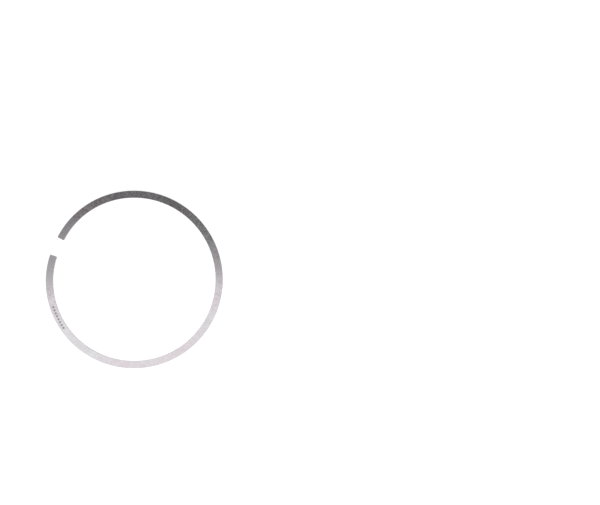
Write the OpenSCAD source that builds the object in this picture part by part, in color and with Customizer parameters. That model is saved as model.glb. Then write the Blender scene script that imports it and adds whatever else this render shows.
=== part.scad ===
// Piston ring: a plain compression ring with a butt gap, drawn free, out of its cylinder.
// It lies on its lower side face. +Z is up, the back of the ring is at +X and the gap at -X.
// The origin is at the middle of the outline, on the lower side face.

/* [Ring] */
// bore of the cylinder that the ring seals, which is also the ring's own diameter when closed
bore_diameter = 80; // [60:0.5:110]
// thickness of the section from inside to outside
radial_width = 3.4; // [2.4:0.05:4.5]
// height of the section between the two side faces
axial_height = 1.75; // [1.2:0.05:3]

/* [Gap] */
// width of the gap when the ring is free
free_gap = 8.5; // [6:0.1:14]
// width of the gap when the ring is closed in its cylinder
closed_gap = 0.3; // [0.15:0.05:0.6]
// how much longer the ring is along the line through its gap than across it, over the even form
ovality = 0.7; // [0:0.05:1.2]
// chamfer on the upright corners of the two ends
gap_corner_chamfer = 0.15; // [0.05:0.05:0.3]

/* [Edges] */
// how far the barrel-shaped running face falls away from its middle to its edges
barrel_drop = 0.02; // [0.01:0.005:0.04]
// chamfer where the running face meets each side face
outer_chamfer = 0.06; // [0.05:0.01:0.25]
// chamfer where the inner face meets each side face
inner_chamfer = 0.12; // [0.05:0.01:0.35]

/* [Hidden] */
$fn = 180;

// how far a cutting shape runs past what it cuts
past = axial_height / 4;

// the fibre in the middle of the section, when the ring is closed to a true circle
closed_radius = (bore_diameter - radial_width) / 2;

// Half the fibre is drawn as arcs that run into one another, from the back to one end. Their
// sizes are kept to whole microns and thousandths of a degree.
half_arcs = 8;
closed_half_angle = 180 - closed_gap / (2 * closed_radius) * 180 / PI;
closed_step = closed_half_angle / half_arcs;
function to_thousandths(value) = round(value * 1000) / 1000;

// Ovality takes the same share of curvature from the sides as it gives to the back and the ends.
oval_share = 3 / 4 * ovality / closed_radius;

// A ring that presses evenly on its cylinder is not round when free. Its curvature falls short
// of the closed circle's by a share at the sides, by twice the share at the back and by nothing
// at the ends. This is the curvature of arc i against the closed circle's, at the arc's middle.
function arc_middle(i) = (i + 0.5) * closed_step;
function curvature(i, share) =
    1 - share * (1 + cos(arc_middle(i))) + oval_share * cos(2 * arc_middle(i));
function arc_radius(i, share = even_share) = to_thousandths(closed_radius / curvature(i, share));
function arc_angle(i, share = even_share) = to_thousandths(closed_step * curvature(i, share));

// direction in which the section faces outwards where arc i begins
function facing(i, share = even_share) =
    i == 0 ? 0 : facing(i - 1, share) + arc_angle(i - 1, share);
function outwards(i, share = even_share) = [cos(facing(i, share)), sin(facing(i, share))];

// two neighbouring arcs have their centres in line with the place where they meet
function centre_step(i, share) =
    (arc_radius(i - 1, share) - arc_radius(i, share)) * outwards(i, share);
function arc_centre(i, share = even_share) =
    i == 0 ? [0, 0] : arc_centre(i - 1, share) + centre_step(i, share);
function fibre_end(share = even_share) =
    arc_centre(half_arcs - 1, share)
    + arc_radius(half_arcs - 1, share) * outwards(half_arcs, share);

// The share that opens the gap to its free width: the share for a very small gap, put right by
// how far it misses.
opening = free_gap - closed_gap;
first_share = opening / (3 * PI * closed_radius);
first_opening = 2 * fibre_end(first_share)[1] - closed_gap;
even_share = first_share * opening / first_opening;

// the outline's reach on either side of the first arc's centre, and its middle
back_reach = arc_radius(0) + radial_width / 2;
gap_reach = fibre_end()[0] + outwards(half_arcs)[0] * radial_width / 2;
outline_middle = (back_reach + gap_reach) / 2;

// the circle that gives the running face its barrel shape
barrel_half_height = axial_height / 2 - outer_chamfer;
barrel_radius = (pow(barrel_half_height, 2) + pow(barrel_drop, 2)) / (2 * barrel_drop);

// Section with X outwards from the fibre and Y up from the lower side face.
module section() {
    inside = -radial_width / 2;
    outside = radial_width / 2;
    intersection() {
        polygon([
            [inside, inner_chamfer],
            [inside + inner_chamfer, 0],
            [outside - barrel_drop - outer_chamfer, 0],
            [outside - barrel_drop + past, outer_chamfer + past],
            [outside - barrel_drop + past, axial_height - outer_chamfer - past],
            [outside - barrel_drop - outer_chamfer, axial_height],
            [inside + inner_chamfer, axial_height],
            [inside, axial_height - inner_chamfer]
        ]);
        translate([outside - barrel_radius, axial_height / 2])
            circle(r = barrel_radius);
    }
}

// Moves to a place in whole microns and then by the rest of the way, so that arcs meet closely.
module place(at) {
    microns = [to_thousandths(at[0]), to_thousandths(at[1])];
    translate(microns)
        translate(at - microns)
            children();
}

// One arc of the half ring.
module arc(i) {
    place(arc_centre(i))
        rotate_extrude(angle = arc_angle(i), start = facing(i))
            translate([arc_radius(i), 0])
                section();
}

// What the chamfers take off the two upright corners of the end.
module end_corners() {
    size = 4 * gap_corner_chamfer;
    translate([fibre_end()[0], fibre_end()[1], axial_height / 2])
        rotate(facing(half_arcs))
            for (side = [-1, 1])
                translate([side * radial_width / 2, 0, 0])
                    rotate(90 - 45 * side)
                        translate([size / 2 - gap_corner_chamfer / sqrt(2), 0, 0])
                            cube([size, size, axial_height + 2 * past], center = true);
}

// Half the ring, from the back to its end at the gap.
module half_ring() {
    difference() {
        union() {
            for (i = [0 : half_arcs - 1])
                arc(i);
        }
        end_corners();
    }
}

// The whole ring, one piece of steel.
module piston_ring() {
    color("silver")
        translate([-outline_middle, 0, 0]) {
            half_ring();
            mirror([0, 1, 0])
                half_ring();
        }
}

piston_ring();
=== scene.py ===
# Looks for the piston ring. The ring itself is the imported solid, which lies on its lower side face
# with its gap at -X. This script gives each of its faces the finish that its making leaves there,
# lays it on a white floor under soft studio light, and looks straight down on it.
import math

import bmesh
import bpy
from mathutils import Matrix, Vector


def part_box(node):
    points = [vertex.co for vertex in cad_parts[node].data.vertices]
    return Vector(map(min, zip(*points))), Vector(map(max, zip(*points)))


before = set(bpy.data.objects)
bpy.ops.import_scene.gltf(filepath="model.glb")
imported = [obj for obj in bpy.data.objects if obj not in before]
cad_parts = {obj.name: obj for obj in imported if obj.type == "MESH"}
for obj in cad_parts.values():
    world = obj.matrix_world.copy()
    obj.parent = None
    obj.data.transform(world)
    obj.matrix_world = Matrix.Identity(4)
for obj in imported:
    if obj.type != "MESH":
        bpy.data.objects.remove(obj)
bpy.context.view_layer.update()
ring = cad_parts["piston_ring"]

# a millimetre, where lengths are in metres
MM = 0.001

# height of the ring's upper side face
UPPER_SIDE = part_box("piston_ring")[1][2]

# The frame that the camera fills, in pixels, with its middle and the ring's origin counted from
# its upper left corner, and the size of a pixel on the ring's upper side face.
FRAME_WIDE = 600
FRAME_HIGH = 505
FRAME_MIDDLE = (FRAME_WIDE / 2, FRAME_HIGH / 2)
ORIGIN_AT = (134.8, 279.9)
PIXEL = 0.4655 * MM

# The gap is a little above the ring's left, so the picture is turned about the upright.
PICTURE_TURN = math.radians(22.8)
PICTURE_RIGHT = Vector((math.cos(PICTURE_TURN), math.sin(PICTURE_TURN), 0))
PICTURE_UP = Vector((-math.sin(PICTURE_TURN), math.cos(PICTURE_TURN), 0))
UPRIGHT = Vector((0, 0, 1))

# height of the camera over the ring's upper side face
CAMERA_HEIGHT = 1.0


def seen_at(pixel):
    """The point on the level of the ring's upper side face that the camera sees at this pixel."""
    right = (pixel[0] - ORIGIN_AT[0]) * PIXEL
    up = (ORIGIN_AT[1] - pixel[1]) * PIXEL
    return right * PICTURE_RIGHT + up * PICTURE_UP + UPPER_SIDE * UPRIGHT


def mirrored_at(pixel, height):
    """The point at this height over the ring that its upper side face mirrors at this pixel."""
    below_camera = seen_at(FRAME_MIDDLE)
    reach = 1 + height / CAMERA_HEIGHT
    return below_camera + reach * (seen_at(pixel) - below_camera) + height * UPRIGHT


def linear(hex_colour):
    """An sRGB hex colour as linear red, green, blue and alpha, by the standard's formula."""
    shares = [int(hex_colour[i:i + 2], 16) / 255 for i in (1, 3, 5)]
    return [s / 12.92 if s <= 0.04045 else ((s + 0.055) / 1.055) ** 2.4 for s in shares] + [1.0]


def in_use(sockets, key):
    """The socket with this name or number, among those that the node's settings leave in use."""
    used = [socket for socket in sockets if socket.enabled]
    if isinstance(key, int):
        return used[key]
    return next(socket for socket in used if socket.name == key)


def add(tree, kind, inputs=None, **settings):
    """Adds a node. Each input is a value, another node's output, or a node with one output."""
    node = tree.nodes.new("ShaderNode" + kind)
    for name, value in settings.items():
        setattr(node, name, value)
    for key, value in (inputs or {}).items():
        if isinstance(value, bpy.types.Node):
            value = in_use(value.outputs, 0)
        if isinstance(value, bpy.types.NodeSocket):
            tree.links.new(value, in_use(node.inputs, key))
        else:
            in_use(node.inputs, key).default_value = value
    return node


def new_tree(owner):
    """The emptied node tree of a material or a world."""
    owner.use_nodes = True
    owner.node_tree.nodes.clear()
    return owner.node_tree


def is_seen(tree):
    """1 for what is looked at, by the camera or in a mirror, and 0 for what only lights things."""
    path = add(tree, "LightPath").outputs
    seen = path["Is Camera Ray"]
    for other in ("Is Glossy Ray", "Is Transmission Ray"):
        seen = add(tree, "Math", {0: seen, 1: path[other]}, operation="MAXIMUM")
    return seen


def put(name, data):
    """A new object in the scene that holds this mesh, lamp or camera."""
    obj = bpy.data.objects.new(name, data)
    bpy.context.scene.collection.objects.link(obj)
    return obj


def camera():
    """Looks straight down, with the ring in its place in the frame."""
    data = bpy.data.cameras.new("camera")
    data.lens = data.sensor_width * CAMERA_HEIGHT / (FRAME_WIDE * PIXEL)
    eye = put("camera", data)
    eye.location = seen_at(FRAME_MIDDLE) + CAMERA_HEIGHT * UPRIGHT
    eye.rotation_euler.z = PICTURE_TURN
    bpy.context.scene.camera = eye


# The floor's width, its colour, and what it shows on top of the light that falls on it.
FLOOR_WIDE = 8.0
FLOOR_COLOUR = "#b4b4b4"
FLOOR_GLOW = 0.85


def floor():
    """A floor of matt card. A glow makes it look white, also in the ring's mirror, but doesn't
    light anything."""
    material = bpy.data.materials.new("white_card")
    tree = new_tree(material)
    strength = add(tree, "Math", {0: is_seen(tree), 1: FLOOR_GLOW}, operation="MULTIPLY")
    glow = add(tree, "Emission", {"Strength": strength})
    card = add(tree, "BsdfDiffuse", {"Color": linear(FLOOR_COLOUR)})
    both = add(tree, "AddShader", {0: card, 1: glow})
    add(tree, "OutputMaterial", {"Surface": both})

    mesh = bpy.data.meshes.new("floor")
    form = bmesh.new()
    bmesh.ops.create_grid(form, x_segments=1, y_segments=1, size=FLOOR_WIDE / 2)
    form.to_mesh(mesh)
    form.free()
    mesh.materials.append(material)
    put("floor", mesh)


# Each soft box has a height over the ring and a brightness, as the ring mirrors it. Its edge is
# mirrored at a pixel of the frame, turned against the picture, and the box lies below that edge.
LAMP_WIDE = 0.6
LAMP_DEEP = 0.22
SOFT_BOXES = (
    {"height": 0.110, "brightness": 0.55, "edge": (222, 276.5), "turn": math.radians(3.5)},
    {"height": 0.225, "brightness": 0.35, "edge": (222, 251.5), "turn": math.radians(-10)},
)


def soft_boxes():
    """Two soft boxes that the lower part of the ring mirrors. Their edges part towards the left,
    so the ring goes from dark to pale more slowly on that side."""
    for number, box in enumerate(SOFT_BOXES):
        data = bpy.data.lights.new("soft_box_%d" % number, "AREA")
        data.shape = "RECTANGLE"
        data.size = LAMP_WIDE
        data.size_y = LAMP_DEEP
        data.energy = box["brightness"] * math.pi * LAMP_WIDE * LAMP_DEEP
        lamp = put(data.name, data)
        lamp.visible_camera = False
        turn = box["turn"]
        lamp_up = math.cos(turn) * PICTURE_UP - math.sin(turn) * PICTURE_RIGHT
        lamp.location = mirrored_at(box["edge"], box["height"]) - LAMP_DEEP / 2 * lamp_up
        lamp.rotation_euler.z = PICTURE_TURN + turn


# How bright the room is by height, from the horizon, at 0, to straight overhead, at 1.
ROOM = ((0.0, 0.78), (0.35, 0.58), (0.7, 0.34), (0.9, 0.31), (0.965, 0.145))

# How much of that the room gives on the far side, above in the picture, and on the side of the
# soft boxes.
FAR_SIDE = 0.75
LAMP_SIDE = 1.05

# The horizon is seen as white as the floor, so that the floor's far edge doesn't show: the height
# up to which it is all white, and that at which the white has faded into the room.
HORIZON_WHITE = 0.06
HORIZON_END = 0.2


def room():
    """Light from a pale room that is dark overhead and brighter on the side of the soft boxes. Its
    horizon looks white, which doesn't add to the light."""
    world = bpy.data.worlds.new("room")
    bpy.context.scene.world = world
    tree = new_tree(world)
    direction = add(tree, "TexCoord").outputs["Generated"]
    height = add(tree, "SeparateXYZ", {0: direction}).outputs["Z"]
    shade = add(tree, "ValToRGB", {"Fac": height})
    stops = shade.color_ramp.elements
    while len(stops) < len(ROOM):
        stops.new(1.0)
    for stop, (position, level) in zip(stops, ROOM):
        stop.position = position
        stop.color = (level, level, level, 1)
    far = add(tree, "VectorMath", {0: direction, 1: PICTURE_UP}, operation="DOT_PRODUCT")
    sides = {"From Min": -1.0, "From Max": 1.0, "To Min": LAMP_SIDE, "To Max": FAR_SIDE}
    share = add(tree, "MapRange", {"Value": far, **sides})
    light = add(tree, "Background", {"Color": shade.outputs["Color"], "Strength": share})

    fade = {"From Min": HORIZON_END, "From Max": HORIZON_WHITE}
    horizon = add(tree, "MapRange", {"Value": height, **fade})
    shown = add(tree, "Math", {0: horizon, 1: is_seen(tree)}, operation="MULTIPLY")
    white = add(tree, "Background", {"Color": linear("#ffffff"), "Strength": 1.0})
    both = add(tree, "MixShader", {"Fac": shown, 1: light, 2: white})
    add(tree, "OutputWorld", {"Surface": both})


# how far to either side of a direction the ring's points are looked for, in radians
NEAR = 0.1


def fibre_radius(angle):
    """How far the middle of the ring's section is from the origin, in this direction."""
    reaches = []
    for vertex in ring.data.vertices:
        if abs(math.atan2(vertex.co.y, vertex.co.x) - angle) < NEAR:
            reaches.append(vertex.co.xy.length)
    return (min(reaches) + max(reaches)) / 2


FIBRE = fibre_radius(0)


def on_ring(tree):
    """The place on the ring, in metres along it from its back, out from the origin and up, and the
    direction outwards there."""
    place = add(tree, "TexCoord").outputs["Object"]
    parts = add(tree, "SeparateXYZ", {0: place}).outputs
    angle = add(tree, "Math", {0: parts["Y"], 1: parts["X"]}, operation="ARCTAN2")
    along = add(tree, "Math", {0: angle, 1: FIBRE}, operation="MULTIPLY")
    level = add(tree, "VectorMath", {0: place, 1: (1, 1, 0)}, operation="MULTIPLY")
    out = add(tree, "VectorMath", {0: level}, operation="LENGTH")
    outwards = add(tree, "VectorMath", {0: level}, operation="NORMALIZE")
    return add(tree, "CombineXYZ", {"X": along, "Y": out, "Z": parts["Z"]}), outwards


# How squarely a point faces the way of a face where that face's finish starts, and where it is
# whole, as cosines.
FACING_A_LITTLE = 0.8
FACING_FULLY = 0.95


def faces(tree, outwards):
    """Masks for both side faces, the running face, the inner face and the upper side face alone."""
    normal = add(tree, "NewGeometry").outputs["Normal"]
    upper = add(tree, "SeparateXYZ", {0: normal}).outputs["Z"]
    side = add(tree, "Math", {0: upper}, operation="ABSOLUTE")
    running = add(tree, "VectorMath", {0: normal, 1: outwards}, operation="DOT_PRODUCT")
    inner = add(tree, "Math", {0: running, 1: -1.0}, operation="MULTIPLY")
    limits = {"From Min": FACING_A_LITTLE, "From Max": FACING_FULLY}
    ways = (side, running, inner, upper)
    return [add(tree, "MapRange", {"Value": way, **limits}) for way in ways]


# Spacing of the lines in each finish, in millimetres along the ring, out and up. All but the
# turned ones are drawn some ten times as coarse as the real lines, which are too fine to show.
LAPPED_SPACING = (0.4, 2.4, 3)
RUNNING_SPACING = (25, 25, 0.2)
TURNED_SPACING = (12, 12, 0.25)
GROUND_SPACING = (4, 4, 0.2)

# The side faces' lines cross at this slant on either side of straight across.
LAPPED_SLANT = math.radians(35)


def tool_lines(tree, place, spacing, slant=0.0):
    """Lines that a tool or its grit leaves, as noise drawn out the way that the spacing is long. A
    slant turns lines on the side faces."""
    turned = add(tree, "VectorRotate", {"Vector": place, "Angle": slant}, rotation_type="Z_AXIS")
    scale = [1 / (size * MM) for size in spacing]
    drawn = add(tree, "VectorMath", {0: turned, 1: scale}, operation="MULTIPLY")
    return add(tree, "TexNoise", {"Vector": drawn, "Scale": 1.0}).outputs["Fac"]


# nearly all of a noise lies in this range
NOISE_RANGE = {"From Min": 0.3, "From Max": 0.7}


def between(tree, amount, low, high):
    """Colour and roughness between two such pairs, by the amount of a noise."""
    share = add(tree, "MapRange", {"Value": amount, **NOISE_RANGE})
    colours = {"A": linear(low[0]), "B": linear(high[0])}
    colour = add(tree, "Mix", {"Factor": share, **colours}, data_type="RGBA")
    roughness = add(tree, "Mix", {"Factor": share, "A": low[1], "B": high[1]})
    return colour, roughness


# The patches of tint on the side faces: their colour and size, and the noise that lays them out,
# which has many layouts, by W, and breaks the patches up into smaller ones.
TINT_COLOUR = "#fff0f5"
TINT_SIZE = 16 * MM
TINT_NOISE = {"W": 6.0, "Detail": 5.0, "Roughness": 0.6}


def lapped_steel(tree, place):
    """Side faces, lapped flat between two discs: pale and satin, with the fine crossing lines of
    the grit and faint patches of a pink tint."""
    one_way = tool_lines(tree, place, LAPPED_SPACING, LAPPED_SLANT)
    other_way = tool_lines(tree, place, LAPPED_SPACING, -LAPPED_SLANT)
    grain = add(tree, "Mix", {"Factor": 0.5, "A": one_way, "B": other_way})
    colour, roughness = between(tree, grain, ("#d4d5d7", 0.36), ("#e2e3e5", 0.08))
    patches = {"Vector": place, "Scale": 1 / TINT_SIZE, **TINT_NOISE}
    cloud = add(tree, "TexNoise", patches, noise_dimensions="4D").outputs["Fac"]
    tint = add(tree, "MapRange", {"Value": cloud, **NOISE_RANGE})
    tinted = {"Factor": tint, "A": colour, "B": linear(TINT_COLOUR)}
    colour = add(tree, "Mix", tinted, data_type="RGBA", blend_type="MULTIPLY")
    return colour, roughness, grain


# How far from the running face's crown the worn band is whole and where it ends, and how much its
# wear counts against that of the lines.
CROWN_WHOLE = 0.1 * MM
CROWN_END = 0.7 * MM
CROWN_WEAR = 0.4


def nitrided_steel(tree, place):
    """Running face, hardened in gas and then lapped in a cylinder: a darker grey with fine lines
    round the ring and a brighter band along the crown, which touches the cylinder first."""
    lines = tool_lines(tree, place, RUNNING_SPACING)
    height = add(tree, "SeparateXYZ", {0: place}).outputs["Z"]
    rise = add(tree, "Math", {0: height, 1: UPPER_SIDE / 2}, operation="SUBTRACT")
    off_crown = add(tree, "Math", {0: rise}, operation="ABSOLUTE")
    band = {"From Min": CROWN_END, "From Max": CROWN_WHOLE, "To Max": CROWN_WEAR}
    crown = add(tree, "MapRange", {"Value": off_crown, **band})
    worn = add(tree, "Math", {0: lines, 1: crown}, operation="ADD")
    return *between(tree, worn, ("#828083", 0.26), ("#aeacae", 0.16)), lines


def turned_steel(tree, place):
    """Inner face, left as it was turned: a duller grey with tool lines round the ring."""
    lines = tool_lines(tree, place, TURNED_SPACING)
    return *between(tree, lines, ("#a9a7a9", 0.26), ("#c2bfc1", 0.36)), lines


def ground_steel(tree, place):
    """Ends and broken edges, touched by a fine stone: bright and smooth, with some rubbed lines."""
    lines = tool_lines(tree, place, GROUND_SPACING)
    return *between(tree, lines, ("#bfbcc0", 0.24), ("#d8d5d8", 0.16)), lines


# A row of dots on the upper side face, where such a ring carries a mark that says which side goes
# up: how many, their pitch and radius, the share of the radius over which a dot's edge fades, and
# the direction of the row's middle from the origin.
DOTS = 8
DOT_PITCH = 1.5 * MM
DOT_RADIUS = 0.5 * MM
DOT_FADE = 0.15
DOTS_ANGLE = math.radians(-131)

# The dots are burnt into the steel, which leaves them dull and faintly brown.
DOT_COLOUR = "#aca1a3"
DOT_ROUGHNESS = 0.42


def etched_dots(tree, place, upper):
    """Mask of the row of dots."""
    parts = add(tree, "SeparateXYZ", {0: place}).outputs
    along = add(tree, "Math", {0: parts["X"], 1: DOTS_ANGLE * FIBRE}, operation="SUBTRACT")
    reach = add(tree, "Math", {0: along}, operation="ABSOLUTE")
    row = add(tree, "Math", {0: reach, 1: DOTS * DOT_PITCH / 2}, operation="LESS_THAN")

    # the way along from the first dot's middle, and then from the middle of the nearest dot
    from_first = add(tree, "Math", {0: along, 1: (DOTS - 1) * DOT_PITCH / 2}, operation="ADD")
    across = add(tree, "Math", {0: from_first, 1: DOT_PITCH / 2}, operation="PINGPONG")
    out = add(tree, "Math", {0: parts["Y"], 1: fibre_radius(DOTS_ANGLE)}, operation="SUBTRACT")
    offset = add(tree, "CombineXYZ", {"X": across, "Y": out})
    distance = add(tree, "VectorMath", {0: offset}, operation="LENGTH")
    edge = {"From Min": DOT_RADIUS * (1 + DOT_FADE), "From Max": DOT_RADIUS * (1 - DOT_FADE)}
    dot = add(tree, "MapRange", {"Value": distance, **edge})
    in_row = add(tree, "Math", {0: dot, 1: row}, operation="MULTIPLY")
    return add(tree, "Math", {0: in_row, 1: upper}, operation="MULTIPLY")


# height of the lines in the finishes, and how many times as deep the dots are
LINE_HEIGHT = 0.006 * MM
DOT_DEPTH = 2.0


def ring_steel():
    """The ring's steel, with the finish of each of its faces and the row of dots."""
    material = bpy.data.materials.new("lapped_ring_steel")
    tree = new_tree(material)
    place, outwards = on_ring(tree)
    side, running, inner, upper = faces(tree, outwards)
    colour, roughness, height = ground_steel(tree, place)
    for mask, finish in ((inner, turned_steel), (running, nitrided_steel), (side, lapped_steel)):
        its_colour, its_roughness, its_height = finish(tree, place)
        colour = add(tree, "Mix", {"Factor": mask, "A": colour, "B": its_colour}, data_type="RGBA")
        roughness = add(tree, "Mix", {"Factor": mask, "A": roughness, "B": its_roughness})
        height = add(tree, "Mix", {"Factor": mask, "A": height, "B": its_height})
    dots = etched_dots(tree, place, upper)
    burnt = {"Factor": dots, "A": colour, "B": linear(DOT_COLOUR)}
    colour = add(tree, "Mix", burnt, data_type="RGBA")
    roughness = add(tree, "Mix", {"Factor": dots, "A": roughness, "B": DOT_ROUGHNESS})
    height = add(tree, "Math", {0: dots, 1: -DOT_DEPTH, 2: height}, operation="MULTIPLY_ADD")
    bump = add(tree, "Bump", {"Distance": LINE_HEIGHT, "Height": height})
    surface = {"Base Color": colour, "Metallic": 1.0, "Roughness": roughness, "Normal": bump}
    steel = add(tree, "BsdfPrincipled", surface)
    add(tree, "OutputMaterial", {"Surface": steel})
    return material


camera()
floor()
room()
soft_boxes()
ring.material_slots[0].material = ring_steel()

bpy.context.scene.view_settings.view_transform = "Standard"
